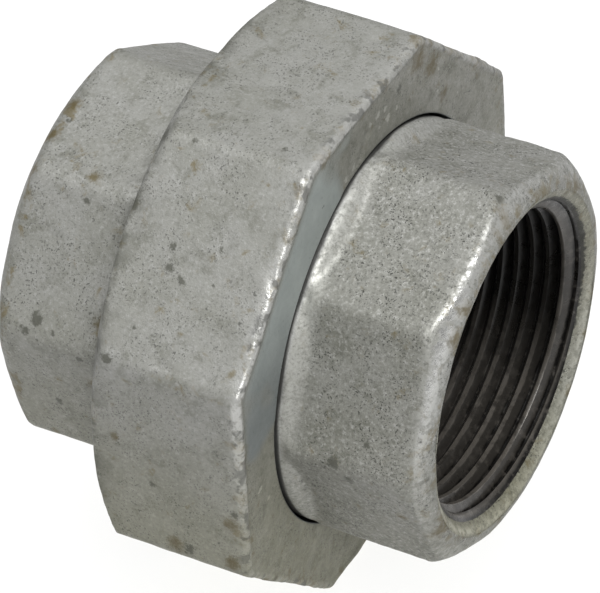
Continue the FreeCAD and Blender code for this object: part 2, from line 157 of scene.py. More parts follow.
def octagon(theta, turn, apothem, rounding):
    """Radius of an octagon with rounded corners."""
    apothem = np.asarray(apothem, float)
    rounding = max(rounding, 0.02)
    from_corner = np.abs((np.degrees(theta) - turn) % 45 - 22.5)
    phi = np.radians(from_corner)
    centre = (apothem - rounding) / math.cos(math.pi / 8)
    touch = np.arctan2(rounding * math.sin(math.pi / 8), centre + rounding * math.cos(math.pi / 8))
    inside = np.maximum(rounding ** 2 - (centre * np.sin(phi)) ** 2, 0)
    round_part = centre * np.cos(phi) + np.sqrt(inside)
    flat_part = apothem / np.cos(math.pi / 8 - phi)
    return np.where(phi < touch, round_part, flat_part)


def ball(x, end, inward, end_radius, full_radius, depth):
    """Radius at x of the sphere that an octagon's corners are turned to."""
    centre = (full_radius ** 2 - end_radius ** 2 + depth ** 2) / (2 * depth)
    squared = end_radius ** 2 + centre ** 2
    along = (x - end) * inward
    turned = np.sqrt(np.maximum(squared - (along - centre) ** 2, 0))
    return np.where(along > depth, full_radius + 5, turned)


def soft_min(a, b, width):
    """The lesser of two, with the edge between them rounded."""
    h = np.clip(0.5 + (b - a) / (2 * width), 0, 1)
    return b + (a - b) * h - width * h * (1 - h)


def soft_max(a, b, width):
    """The greater of two, with the corner between them filled."""
    return -soft_min(-a, -b, width)


def groove(x, theta, start, pitch, turn):
    """Distance along the axis from the nearest turn of a right-hand groove, and that turn's own place."""
    place = start + pitch * (np.degrees(theta) - 90 - turn) / 360
    away = (x - place + pitch / 2) % pitch - pitch / 2
    return away, x - away


# ---------------------------------------------------------------- meshes

class Lathe:
    """A ring-shaped surface: rows that follow one another round the wall's section, each round the axis."""

    def __init__(self, theta):
        self.theta = theta
        self.x, self.r, self.zone, self.wrap, self.marks = [], [], [], [], []

    def row(self, x, r, zone=CAST, cast=0.0, **marks):
        """One row.  cast is how much of the casting's roughness it has; marks are for the material."""
        n = len(self.theta)
        self.x.append(np.broadcast_to(x, n).astype(float))
        self.r.append(np.broadcast_to(r, n).astype(float))
        self.zone.append(zone)
        self.wrap.append(len(self.wrap))
        marks["cast"] = cast
        self.marks.append({key: np.broadcast_to(v, n).astype(float) for key, v in marks.items()})

    def between(self, start, end, count, zone=CAST, cast=0.0, **marks):
        """Evenly spaced rows from one (x, r) to another, without the first."""
        for t in np.linspace(0, 1, count + 1)[1:]:
            x, r = (a + (b - a) * t for a, b in zip(start, end))
            self.row(x, r, zone, cast, **marks)

    def screw(self, start, pitch, turn, fractions, near, far, radius, mark):
        """Rows that follow a thread's turns, from x = near to x = far, and are held at both."""
        down = far < near
        count = len(fractions)
        low, high = min(near, far), max(near, far)
        # whole turns that start below and end above the zone, for every angle
        first = math.floor((low - start) / pitch) - 2
        last = math.ceil((high - start) / pitch) + 2
        places = [start + pitch * (turns + f) for turns in range(first, last) for f in fractions]
        places.sort(reverse=down)
        begin = len(self.x)
        shift = pitch * (np.degrees(self.theta) - 90 - turn) / 360
        rows = [np.clip(place + shift, low, high) for place in places]
        # of the rows that are held all round, only one turn's worth is kept at each end
        free = [i for i, x in enumerate(rows) if np.ptp(x) > 0]
        for x in rows[max(0, free[0] - count - 1):free[-1] + count + 2]:
            self.row(x, radius(x, self.theta), THREAD, **mark(x, self.theta))
        end = len(self.x) - 1
        for i in range(begin, end + 1):
            self.wrap[i] = max(i - count, begin) if down else min(i + count, end)

    def build(self, name, materials, bumps, spots=()):
        """The mesh, with its doubled points merged and the castings' roughness in its shape."""
        n, rows = len(self.theta), len(self.x)
        x, r = np.array(self.x), np.array(self.r)
        marks = {key: np.array([mark.get(key, np.zeros(n)) for mark in self.marks])
                 for key in sorted({key for mark in self.marks for key in mark})}
        for kind in ("rust", "soot", "chalk"):
            marks[kind] = np.zeros_like(x)
        for place, angle, size, kind, radius in spots:
            round_it = np.radians(degrees_from(self.theta, angle))
            along = np.hypot(x - place, r - radius) if radius else x - place
            away = np.hypot(along, r * round_it) / size
            marks[kind] = np.maximum(marks[kind], np.exp(-away ** 2) * (r > MOUTH_R + 0.8))
        points = np.stack([x, r * np.cos(self.theta), r * np.sin(self.theta)], -1).reshape(-1, 3)
        faces, zones = [], []
        column = np.arange(n - 1)
        for k in range(rows):
            after = (k + 1) % rows
            a = k * n + column
            b = after * n + column
            faces.append(np.stack([a, a + 1, b + 1, b], -1))
            last = [k * n + n - 1, self.wrap[k] * n, self.wrap[after] * n, after * n + n - 1]
            faces.append(np.array([last]))
            zones += [self.zone[k] if self.zone[k] == self.zone[after] else CAST] * n
        faces, zones = np.concatenate(faces), np.array(zones)
        # points that lie together become one, and faces that this leaves without a width are dropped
        _, first, same = np.unique(np.round(points, 4), axis=0, return_index=True, return_inverse=True)
        same = same.reshape(-1)
        faces = same[faces]
        points = points[first]
        marks = {key: value.reshape(-1)[first] for key, value in marks.items()}
        solid, kept = [], []
        for face, zone in zip(faces.tolist(), zones.tolist()):
            ring = [v for i, v in enumerate(face) if v != face[i - 1]]
            if len(set(ring)) == len(ring) >= 3:
                solid.append(ring)
                kept.append(zone)
        mesh = bpy.data.meshes.new(name)
        mesh.from_pydata((points * MM).tolist(), [], solid)
        mesh.polygons.foreach_set("material_index", kept)
        mesh.update()
        normals = np.empty(len(points) * 3, np.float32)
        mesh.vertex_normals.foreach_get("vector", normals)
        normals = normals.reshape(-1, 3)
        moved = points + normals * (bumps(points) * marks["cast"])[:, None]
        mesh.vertices.foreach_set("co", (moved * MM).ravel())
        for key in marks:
            if key != "cast":
                layer = mesh.attributes.new(key, "FLOAT", "POINT")
                layer.data.foreach_set("value", marks[key])
        mesh.validate()
        mesh.shade_smooth()
        mesh.set_sharp_from_angle(angle=math.radians(38))
        for material in materials:
            mesh.materials.append(material)
        obj = bpy.data.objects.new(name, mesh)
        bpy.context.scene.collection.objects.link(obj)
        return obj


def sampled(points, size, seed):
    """Smooth noise, from about -1 to 1, with features of a size in millimetres."""
    offset = Vector((seed * 17.3, seed * 5.1, -seed * 9.7))
    return np.array([noise.noise(Vector(p) / size + offset) for p in points.tolist()])


def cast_bumps(seed, strength=1.0):
    """How far a cast skin stands off its true surface: swells, ripples, grit and a few pits."""
    def bumps(points):
        swells = sampled(points, 9.0, seed) * 0.11
        ripples = sampled(points, 3.4, seed + 1) * 0.05
        grit = sampled(points, 1.25, seed + 2) * 0.035
        pits = np.clip(sampled(points, 1.9, seed + 3) - 0.42, 0, 1) * -0.35
        return (swells + ripples + grit + pits) * strength
    return bumps


# ---------------------------------------------------------------- the pieces

def steps(a, b, size):
    return max(2, int(round(abs(b - a) / size)))


def groove_rows(pitch, half_root, depth, others):
    """Where a groove's rows lie, in turns: edges, flanks' middles and other places in millimetres."""
    foot = half_root + depth * TAN30
    flank = (foot + half_root) / 2
    places = [-foot, -flank, -half_root, half_root, flank, foot] + others
    return sorted((place / pitch) % 1 for place in places)


def make_nut(materials):
    theta = columns(0, 58)
    lathe = Lathe(theta)
    thread_start = NUT_BACK - UNION_PITCH / 2
    thread_depth = NUT_THREAD_ROOT_R - NUT_THREAD_BORE_R

    def outside(x, off=0.0):
        side = octagon(theta, 0, NUT_APOTHEM - off, NUT_CORNER_ROUND - off)
        turned = ball(x, NUT_BACK, 1, NUT_BACK_R, NUT_CORNER_R, NUT_TURNED_LENGTH) - off
        return soft_min(side, turned, 0.25)

    def proud(x, r):
        """The casting's front stands further out on the side away from the faced part."""
        side = np.clip((r * np.cos(theta) + 6) / 36, 0, 1)
        return NUT_PROUD * side ** 1.5 * np.clip((x - SHOULDER) / (NUT_FRONT - SHOULDER), 0, 1)

    def thread_radius(x, angle):
        bevel = NUT_THREAD_BORE_R + np.maximum(NUT_BACK + 1 - x, 0) * 1.125
        away, _ = groove(x, angle, thread_start, UNION_PITCH, 0)
        root = NUT_THREAD_ROOT_R
        cut = np.minimum(root, root - (np.abs(away) - NUT_ROOT_HALF) / TAN30)
        return np.maximum(bevel, cut)

    def thread_mark(x, angle):
        return {"crest": np.clip((NUT_THREAD_ROOT_R - thread_radius(x, angle)) / thread_depth, 0, 1)}

    # back face, from the thread's mouth outwards
    mouth = thread_radius(np.full_like(theta, NUT_BACK), theta)
    start = outside(NUT_BACK, NUT_RIM)
    for t in np.linspace(0, 1, 8)[1:]:
        lathe.row(NUT_BACK, mouth + (start - mouth) * t, cast=min(1, t * 2), seam=1.0)
    for k in np.radians(np.linspace(18, 90, 5)):
        x = NUT_BACK + NUT_RIM * (1 - math.cos(k))
        lathe.row(x, outside(x, NUT_RIM * (1 - math.sin(k))), cast=1.0, seam=0.8, edge=0.5)
    # flats, and the front rim, worn bare and lightened by a painted highlight that is strongest on its
    # upper left
    back, front = NUT_BACK + NUT_RIM, NUT_FRONT - NUT_RIM
    bright = 0.2 + 0.8 * facing(theta, 138, 40)
    for x in np.linspace(back, front, steps(NUT_BACK, front, 0.45))[1:]:
        near_back = math.exp(-(x - back) / 1.2)
        near_front = math.exp(-(front - x) / 1.0)
        r = outside(x)
        lathe.row(x + proud(x, r), r, cast=1.0 + 1.5 * near_front, seam=0.8 * near_back,
                  edge=near_front, glint=bright * near_front ** 2, notch=near_front ** 2)
    for k in np.radians(np.linspace(0, 90, 6))[1:]:
        x, r = front + NUT_RIM * math.sin(k), outside(front, NUT_RIM * (1 - math.cos(k)))
        lathe.row(x + proud(x, r), r, cast=2.6 - k, edge=1.0, glint=bright, notch=1.0)
    # front face: faced off flat on one side only, and left a little low and rough elsewhere
    outer = outside(front, NUT_RIM)
    inner = NUT_HOLE_R + NUT_HOLE_BEVEL
    for t in np.linspace(0, 1, 23)[1:]:
        r = outer + (inner - outer) * t
        y, z = r * np.cos(theta), r * np.sin(theta)
        ragged = np.array([noise.noise(Vector((7.7, a / 5, b / 5))) for a, b in zip(y, z)])
        lean = np.cos(theta - math.radians(137)) - 0.80 + 0.13 * ragged
        faced = np.clip(lean / 0.07, 0, 1) * min(1, t * 6)
        rough = 1 - faced
        lathe.row(NUT_FRONT + proud(NUT_FRONT, r) - 0.12 * rough, r, cast=rough * min(1, (1 - t) * 8),
                  faced=faced, edge=math.exp(-t * 7) * rough, aged=0.35 * rough)
    # hole, shoulder, relief and thread; the hole, shoulder and relief painted dark as shade inside the nut
    hole_front = NUT_FRONT - NUT_HOLE_BEVEL + proud(NUT_FRONT, NUT_HOLE_R)
    lathe.row(hole_front, NUT_HOLE_R, faced=1.0, dark=0.5)
    for begin, end, count in (
        ((NUT_FRONT - 0.4, NUT_HOLE_R), (SHOULDER, NUT_HOLE_R), 5),
        ((SHOULDER, NUT_HOLE_R), (SHOULDER, NUT_RELIEF_R), 3),
        ((SHOULDER, NUT_RELIEF_R), (NUT_RELIEF_START, NUT_RELIEF_R), 3),
        ((NUT_RELIEF_START, NUT_RELIEF_R), (NUT_RELIEF_START, NUT_THREAD_ROOT_R), 1),
    ):
        lathe.between(begin, end, count, faced=1.0, dark=1.0)
    fractions = groove_rows(UNION_PITCH, NUT_ROOT_HALF, thread_depth, [0, UNION_PITCH / 2])
    lathe.screw(thread_start, UNION_PITCH, 0, fractions, NUT_RELIEF_START, NUT_BACK, thread_radius,
                thread_mark)
    return lathe.build("nut_casting_detail", materials, cast_bumps(3), NUT_SPOTS)


def pipe_thread(mouth, inward, turn):
    """Start, rows, radius and marks of a taper pipe thread that starts one turn outside its mouth."""
    start = mouth - inward * PIPE_PITCH
    root_at_start = PIPE_ROOT_R + PIPE_PITCH * TAPER
    half_root = 0.04 * PIPE_PITCH

    def bevel_radius(depth):
        flare = (MOUTH_R - PIPE_BORE_R) / MOUTH_BEVEL
        return PIPE_BORE_R + np.maximum(MOUTH_BEVEL - depth, 0) * flare

    def radius(x, angle):
        away, place = groove(x, angle, start, PIPE_PITCH, turn)
        root = root_at_start - (x - start) * inward * TAPER
        cut = np.minimum(root, root - (np.abs(away) - half_root) / TAN30)
        run_out = np.clip((PIPE_TURNS * PIPE_PITCH - (place - start) * inward) / 0.5, 0, 1)
        cut = np.where(run_out > 0, PIPE_BORE_R + (cut - PIPE_BORE_R) * run_out, 0)
        return np.maximum(bevel_radius((x - mouth) * inward), cut)

    def marks(x, angle):
        depth = (x - mouth) * inward
        r = radius(x, angle)
        on_bevel = (r - bevel_radius(depth) < 0.02) & (depth < MOUTH_BEVEL)
        # painted shade: the upper wall and the deeper turns darkened, as if the light reached only the
        # lower part of the bore
        upper = np.clip((degrees_from(angle, 0) + 62) / 40, 0, 1)
        return {
            "crest": np.clip((21.0 - r) / 1.4, 0, 1),
            "mouth": on_bevel * np.clip((depth - 0.3) / 0.3, 0, 1),
            "oil": upper * np.clip((depth - 0.5) / 2.5, 0, 1),
        }

    crest = 0.42 * PIPE_PITCH
    fractions = groove_rows(PIPE_PITCH, half_root, 20.9 - PIPE_BORE_R, [crest, -crest])
    return start, fractions, radius, marks


def make_tail(materials):
    theta = columns(TAIL_TURN, 54)
    lathe = Lathe(theta)
    flare_start, flare_length = NUT_FRONT + 0.3, 3.0
    flare_drop = NECK_R - (GRIP_APOTHEM - 0.3)

    def outside(x, off=0.0):
        side = octagon(theta, TAIL_TURN, GRIP_APOTHEM - off, GRIP_ROUND - off)
        end = ball(x, TAIL_END, -1, 24.6, GRIP_CORNER_R, 3.0) - off
        back = ball(x, flare_start, 1, 26.5, GRIP_CORNER_R, 2.2)
        grip = soft_min(soft_min(side, end, 0.5), back, 0.15)
        t = (x - flare_start) / flare_length
        if t >= 1:
            return grip
        flare = NECK_R - flare_drop * t * t * (3 - 2 * t)
        return soft_max(grip, np.full_like(theta, flare), 0.25)

    # ball-shaped nose, flange and neck
    flange_back = SHOULDER - FLANGE_THICK
    ball_centre = TAIL_NOSE + math.sqrt(NOSE_BALL_R ** 2 - NOSE_TIP_R ** 2)
    lathe.row(TAIL_NOSE, WATERWAY_R, faced=1.0)
    lathe.row(TAIL_NOSE, NOSE_TIP_R, faced=1.0)
    for x in np.linspace(TAIL_NOSE, flange_back, 9)[1:]:
        lathe.row(x, math.sqrt(NOSE_BALL_R ** 2 - (ball_centre - x) ** 2), faced=1.0)
    lathe.row(flange_back, FLANGE_R - 0.6, faced=1.0)
    lathe.row(flange_back + 0.6, FLANGE_R, faced=1.0)
    lathe.between((flange_back + 0.6, FLANGE_R), (SHOULDER, FLANGE_R), 3, faced=1.0)
    lathe.between((SHOULDER, FLANGE_R), (SHOULDER, NECK_R), 3, faced=1.0)
    skin_start = NUT_FRONT - 1.1
    # painted shade on the neck inside the nut
    lathe.between((SHOULDER, NECK_R), (skin_start, NECK_R), 4, faced=1.0, dark=1.0)
    # the neck's skin: painted shade in the gap at the nut's edge, and a painted highlight, palest on its
    # upper left
    flare_highlight_side = 0.3 + 0.7 * facing(theta, 135, 42)
    ragged = np.array([noise.noise(Vector((3.1, 4 * math.cos(a), 4 * math.sin(a)))) for a in theta])

    # painted shade in the gap, where the nut's edge shadows the neck
    def dirt_and_gap_shade(x):
        return np.clip((NUT_FRONT + 0.36 + 0.5 * ragged - x) / 0.25, 0, 1)

    for t in np.linspace(0, 1, 8)[1:]:
        x = skin_start + (flare_start - skin_start) * t
        lathe.row(x, NECK_R, cast=t * 0.9, glint=0.45 * t * flare_highlight_side, pale=t * flare_highlight_side, dark=dirt_and_gap_shade(x))
    # grip, with a rim worn bare and given a painted highlight, brightest on its upper left and lower right
    stop = TAIL_END - TAIL_RIM
    # painted highlight: the sides of the rim where the front light's reflection falls
    rim_highlight_sides = facing(theta, 135, 32) + facing(theta, -40, 32)
    # painted shade that darkens the upper-left flats
    shaded_side = facing(theta, 138, 48)
    for x in np.linspace(flare_start, stop, steps(flare_start, stop, 0.34))[1:]:
        flared = flare_highlight_side * math.exp(-(max(x - flare_start, 0) / 2.1) ** 4)
        near_rim = math.exp(-(stop - x) / 0.7)
        lathe.row(x, outside(x), cast=1.0, edge=0.5 * math.exp(-(stop - x) / 1.2),
                  glint=0.45 * flared + rim_highlight_sides * near_rim, pale=flared, dark=dirt_and_gap_shade(x), soil=shaded_side)
    for k in np.radians(np.linspace(0, 90, 8))[1:]:
        x = stop + TAIL_RIM * math.sin(k)
        wear_and_highlight = math.exp(-((k - 0.40) / 0.55) ** 2)
        lathe.row(x, outside(x, TAIL_RIM * (1 - math.cos(k))), cast=0.8, edge=0.4 + k / 2,
                  glint=wear_and_highlight * (0.3 + 1.2 * rim_highlight_sides))
    # end face, sloping into the mouth, with oil and painted shade on the lip, less on the lower side
    low_side = np.clip((10 - degrees_from(theta, 0)) / 40, 0, 1)
    outer = outside(TAIL_END, TAIL_RIM)
    lip = MOUTH_R + 1.5 * TAIL_LIP
    # the aged tint is lifted where the rim's painted highlight lies
    aged = 0.9 - 0.7 * rim_highlight_sides
    for t in np.linspace(0, 1, 4)[1:]:
        lathe.row(TAIL_END, outer + (lip - outer) * t, cast=1.0, edge=0.6, aged=aged)
    for t in np.linspace(0, 1, 7)[1:]:
        # painted highlight on the lip, stronger on its lower side
        wear_and_highlight = math.exp(-((t - 0.4) / 0.3) ** 2)
        lathe.row(TAIL_END - TAIL_LIP * t ** 1.6, lip + (MOUTH_R - lip) * t, cast=1.0 - t, edge=0.5,
                  grime=t - 0.33 * low_side, aged=aged, glint=(0.2 + 0.5 * low_side) * wear_and_highlight)
    # bore: pipe thread, slope and waterway
    mouth = TAIL_END - TAIL_LIP
    deep = mouth - PIPE_BORE_DEPTH
    start, fractions, radius, marks = pipe_thread(mouth, -1, TAIL_TURN)
    lathe.screw(start, PIPE_PITCH, TAIL_TURN, fractions, mouth, deep, radius, marks)
    slope_end = deep - WATERWAY_SLOPE
    lathe.between((deep, PIPE_BORE_R), (slope_end, WATERWAY_R), 3, THREAD, crest=0.6)
    lathe.between((slope_end, WATERWAY_R), (TAIL_NOSE + 0.5, WATERWAY_R), 6, THREAD, crest=0.5)
    return lathe.build("tail_casting_detail", materials, cast_bumps(11, 1.15), TAIL_SPOTS)


def make_thread_piece(materials):
    theta = columns(FIXED_TURN, 46)
    lathe = Lathe(theta)
    grip_end = FIXED_END + FIXED_GRIP_LENGTH
    relief_end = NUT_BACK - 1.5
    thread_end = NUT_BACK - 0.3
    thread_start = NUT_BACK - 2 * UNION_PITCH
    thread_depth = MALE_CREST_R - MALE_ROOT_R
    foot, relief = GRIP_APOTHEM - 0.3, MALE_ROOT_R - 0.4

    def outside(x, off=0.0):
        side = octagon(theta, FIXED_TURN, GRIP_APOTHEM - off, GRIP_ROUND - off)
        end = ball(x, FIXED_END, 1, 23.2, GRIP_CORNER_R, 2.8) - off * 0.25
        grip = soft_min(side, end, 0.6)
        if x <= grip_end:
            return grip
        return soft_max(grip, ball(x, grip_end, 1, foot, relief, relief_end - grip_end), 0.4)

    def thread_radius(x, angle):
        rise = relief + np.maximum(x - thread_end, 0)
        lead = MALE_CREST_R - np.maximum(x - (FIXED_FACE - 1.3), 0)
        base = np.minimum(np.minimum(rise, MALE_CREST_R), lead)
        away, _ = groove(x, angle, thread_start, UNION_PITCH, 0)
        root = MALE_ROOT_R
        cut = np.maximum(root, root + (np.abs(away) - MALE_ROOT_HALF) / TAN30)
        return np.minimum(base, cut)

    def thread_mark(x, angle):
        return {"crest": np.clip((thread_radius(x, angle) - MALE_ROOT_R) / thread_depth, 0, 1)}

    # left end face and its rim
    mouth = FIXED_END + FIXED_LIP
    lathe.row(mouth - 0.2, MOUTH_R + 0.3, edge=0.6)
    lathe.row(FIXED_END, MOUTH_R + 0.6, cast=0.5, edge=0.6)
    lathe.row(FIXED_END, outside(FIXED_END, FIXED_RIM), cast=1.0, edge=0.8)
    for k in np.radians(np.linspace(0, 90, 10))[1:]:
        x = FIXED_END + FIXED_RIM * (1 - math.cos(k))
        lathe.row(x, outside(x, FIXED_RIM * (1 - math.sin(k))), cast=1.0, edge=0.8)
    # grip and flare, dirtier towards the nut
    begin = FIXED_END + FIXED_RIM
    for x in np.linspace(begin, relief_end, steps(begin, relief_end, 0.45))[1:]:
        seam = math.exp((x - grip_end) / 1.5 - 0.4) if x < grip_end else 0.7
        lathe.row(x, outside(x), cast=min(1, (relief_end - x) / 1.5), seam=seam)
    lathe.between((relief_end, relief), (thread_end, relief), 2, faced=1.0)
    fractions = groove_rows(UNION_PITCH, MALE_ROOT_HALF, thread_depth, [UNION_PITCH / 2])
    lathe.screw(thread_start, UNION_PITCH, 0, fractions, thread_end, FIXED_FACE, thread_radius, thread_mark)
    # front face, the seat's pocket, the waterway and the pipe thread
    floor = FIXED_FACE - POCKET_DEPTH
    lathe.between((FIXED_FACE, MALE_ROOT_R - 0.05), (FIXED_FACE, POCKET_R), 5, faced=1.0)
    lathe.between((FIXED_FACE, POCKET_R), (floor, POCKET_R), 4, faced=1.0)
    lathe.between((floor, POCKET_R), (floor, WATERWAY_R), 4, faced=1.0)
    deep = mouth + PIPE_BORE_DEPTH
    slope_end = deep + WATERWAY_SLOPE
    lathe.between((floor, WATERWAY_R), (slope_end, WATERWAY_R), 4, THREAD, crest=0.5)
    lathe.between((slope_end, WATERWAY_R), (deep, PIPE_BORE_R), 3, THREAD, crest=0.6)
    start, fractions, radius, marks = pipe_thread(mouth, 1, FIXED_TURN)
    lathe.screw(start, PIPE_PITCH, FIXED_TURN, fractions, deep, mouth, radius, marks)
    return lathe.build("fixed_casting_detail", materials, cast_bumps(23), FIXED_SPOTS)


# ---------------------------------------------------------------- materials

class Shader:
    """A material's nodes, made one call at a time."""

    def __init__(self, name):
        self.material = bpy.data.materials.new(name)
        self.material.use_nodes = True
        self.tree = self.material.node_tree
        self.tree.nodes.clear()
        self.place = self.add("ShaderNodeTexCoord").outputs["Object"]

    def add(self, kind, **settings):
        node = self.tree.nodes.new(kind)
        for key, value in settings.items():
            setattr(node, key, value)
        return node

    def put(self, socket, value):
        if isinstance(value, bpy.types.NodeSocket):
            self.tree.links.new(value, socket)
        else:
            socket.default_value = value

    def mark(self, name):
        """What the mesh says of a mark, such as its wear."""
        return self.add("ShaderNodeAttribute", attribute_name=name).outputs["Fac"]

    def height(self):
        """Metres above the pipe's axis."""
        parts = self.add("ShaderNodeSeparateXYZ")
        self.put(parts.inputs[0], self.place)
        return parts.outputs["Z"]

    def grain(self, size_mm, detail=2.0, rough=0.5, shift=0.0, warp=0.0):
        """Noise from 0 to 1 with features of a size in millimetres."""
        node = self.add("ShaderNodeTexNoise", noise_dimensions="4D")
        self.put(node.inputs["Vector"], self.place)
        self.put(node.inputs["W"], shift)
        self.put(node.inputs["Scale"], 1 / (size_mm * MM))
        self.put(node.inputs["Detail"], detail)
        self.put(node.inputs["Roughness"], rough)
        self.put(node.inputs["Distortion"], warp)
        return node.outputs["Fac"]

    def spread(self, value, low, high, to_low=0.0, to_high=1.0, smooth=True):
        """A value stretched from one range to another, and held at its ends."""
        node = self.add("ShaderNodeMapRange", interpolation_type="SMOOTHSTEP" if smooth else "LINEAR")
        self.put(node.inputs["Value"], value)
        ends = {"From Min": low, "From Max": high, "To Min": to_low, "To Max": to_high}
        for key, number in ends.items():
            self.put(node.inputs[key], number)
        return node.outputs["Result"]

    def calc(self, operation, a, b):
        node = self.add("ShaderNodeMath", operation=operation)
        self.put(node.inputs[0], a)
        self.put(node.inputs[1], b)
        return node.outputs[0]

    def times(self, a, b):
        return self.calc("MULTIPLY", a, b)

    def plus(self, a, b):
        return self.calc("ADD", a, b)

    def mix(self, amount, a, b, blend="MIX"):
        node = self.add("ShaderNodeMix", data_type="RGBA", blend_type=blend)
        self.put(node.inputs["Factor"], amount)
        self.put(node.inputs["A"], a)
        self.put(node.inputs["B"], b)
        return node.outputs["Result"]

    def bump(self, height, distance_mm, strength=1.0):
        node = self.add("ShaderNodeBump")
        self.put(node.inputs["Height"], height)
        self.put(node.inputs["Distance"], distance_mm * MM)
        self.put(node.inputs["Strength"], strength)
        return node.outputs["Normal"]

    def finish(self, **inputs):
        shader = self.add("ShaderNodeBsdfPrincipled")
        for key, value in inputs.items():
            self.put(shader.inputs[key.replace("_", " ")], value)
        out = self.add("ShaderNodeOutputMaterial")
        self.tree.links.new(shader.outputs[0], out.inputs["Surface"])
        return self.material


def gray(v, warm=0.0):
    """A grey, a little green and yellow when it's warm."""
    return (v * (1 + 0.3 * warm), v * (1 + 0.5 * warm), v * (1 - 2.6 * warm), 1.0)


def brown(v):
    return (v * 1.10, v, v * 0.87, 1.0)


OLIVE_STAIN = (0.125, 0.100, 0.045, 1.0)
RUST_STAIN = (0.092, 0.070, 0.024, 1.0)
SOOT_STAIN = gray(0.055, 0.08)
PIN_HOLE = gray(0.05, 0.06)
SEAM_DIRT = gray(0.062, 0.07)
BLACK_OIL_AND_SHADE = gray(0.013, 0.06)
BARE_ZINC_HIGHLIGHT = gray(0.60, 0.01)
NOTCH = gray(0.07, 0.03)
CHALK = gray(0.42, 0.015)
GAP_SHADE = gray(0.02, 0.03)
SCAR = gray(0.07, 0.04)
TOOLED_DARK, TOOLED_PALE = (0.230, 0.258, 0.249, 1.0), (0.375, 0.405, 0.390, 1.0)
# these four darken whatever is under them: painted shade on one side, a darker and yellower tint towards
# the bottom, an aged tint, and painted shade on the faced front's lower part
SIDE_SHADE = (0.82, 0.82, 0.79, 1.0)
LOW_TINT = (0.80, 0.79, 0.64, 1.0)
AGED = (0.84, 0.82, 0.68, 1.0)
TOOLED_SHADE = (0.56, 0.56, 0.57, 1.0)


def zinc(s, tone, speckle, shift, mottle, fine):
    """Hot-dip zinc: cloudy and smudged, with a fine mottle of crystals and dark dots."""
    cloud = s.spread(s.grain(8.0, 3, 0.55, shift), 0.32, 0.68)
    colour = s.mix(cloud, gray(tone * 0.92, 0.034), gray(tone * 1.08, 0.022))
    smudge = s.spread(s.grain(3.2, 6, 0.7, shift + 30, 0.3), 0.50, 0.66, 0.0, 0.70)
    colour = s.mix(smudge, colour, gray(tone * 0.60, 0.055))
    light = s.spread(mottle, 0.50, 0.66, 0.0, min(0.9, 0.55 * speckle))
    colour = s.mix(light, colour, gray(tone * 1.7, 0.01))
    dark = s.spread(mottle, 0.48, 0.32, 0.0, min(0.9, 0.65 * speckle))
    colour = s.mix(dark, colour, gray(tone * 0.45, 0.04))
    gathered = s.spread(s.grain(4.0, 2, 0.5, shift + 9), 0.34, 0.58)
    dots = s.times(s.spread(fine, 0.57, 0.64), gathered)
    return s.mix(s.times(dots, min(1.0, 0.9 * speckle)), colour, gray(tone * 0.16, 0.05))


def stained(s, colour, shift, pin, ragged):
    """Pin-holes, olive stains that gather near edges, listed stains, seam dirt, and oil and painted shade
    into the mouth.
    """
    colour = s.mix(s.times(pin, 0.75), colour, PIN_HOLE)
    patch = s.plus(s.grain(2.6, 5, 0.68, shift + 5, 0.4), s.times(s.mark("edge"), 0.09))
    colour = s.mix(s.spread(patch, 0.575, 0.72, 0.0, 0.75), colour, OLIVE_STAIN)
    rust = s.spread(s.plus(s.mark("rust"), ragged), 0.16, 1.10, 0.0, 0.85)
    colour = s.mix(rust, colour, RUST_STAIN)
    soot = s.spread(s.plus(s.mark("soot"), ragged), 0.40, 0.84, 0.0, 0.8)
    colour = s.mix(soot, colour, SOOT_STAIN)
    dirt_and_gap_shade = s.times(s.mark("seam"), s.spread(s.grain(2.6, 5, 0.7, shift + 12), 0.42, 0.58))
    colour = s.mix(s.times(dirt_and_gap_shade, 0.85), colour, SEAM_DIRT)
    uneven = s.spread(s.grain(0.7, 3, 0.6, shift + 18), 0.3, 0.7, -0.10, 0.10)
    # oil and painted shade on the lip into the mouth
    oil = s.spread(s.plus(s.mark("grime"), uneven), 0.62, 0.78, 0.0, 0.95)
    return s.mix(oil, colour, BLACK_OIL_AND_SHADE)


def scuffed(s, colour, tone, shift, mottle, wear_and_highlight, ragged):
    """Pale rough zinc on the flare as a painted highlight, bare grains on worn edges lightened as a painted
    highlight, dark notches on worn edges, and chalky scrapes.
    """
    # painted highlight: the flare's band made pale
    pale = s.times(s.mark("pale"), s.spread(mottle, 0.36, 0.60, 0.25, 0.85))
    colour = s.mix(pale, colour, gray(tone * 2.0, 0.015))
    # bare worn zinc, lightened as a painted highlight
    colour = s.mix(s.times(wear_and_highlight, 0.75), colour, BARE_ZINC_HIGHLIGHT)
    notch = s.times(s.mark("notch"), s.spread(s.grain(1.5, 2, 0.5, shift + 25), 0.52, 0.60))
    colour = s.mix(s.times(notch, 0.6), colour, NOTCH)
    chalk = s.spread(s.plus(s.mark("chalk"), ragged), 0.42, 0.80, 0.0, 0.8)
    return s.mix(chalk, colour, CHALK)


def tooled(s, shift, pin, height):
    """Zinc that a tool has faced off, with small scars, and painted shade on its lower part."""
    colour = s.mix(s.grain(4.0, 4, 0.6, shift + 2), TOOLED_DARK, TOOLED_PALE)
    # painted shade: darker on the lower part
    colour = s.mix(s.spread(height, 0.022, 0.008), colour, TOOLED_SHADE, "MULTIPLY")
    scratch = s.spread(s.grain(0.7, 3, 0.6, shift + 6), 0.62, 0.75, 0.0, 0.5)
    return s.mix(s.plus(s.times(pin, 0.8), scratch), colour, SCAR)


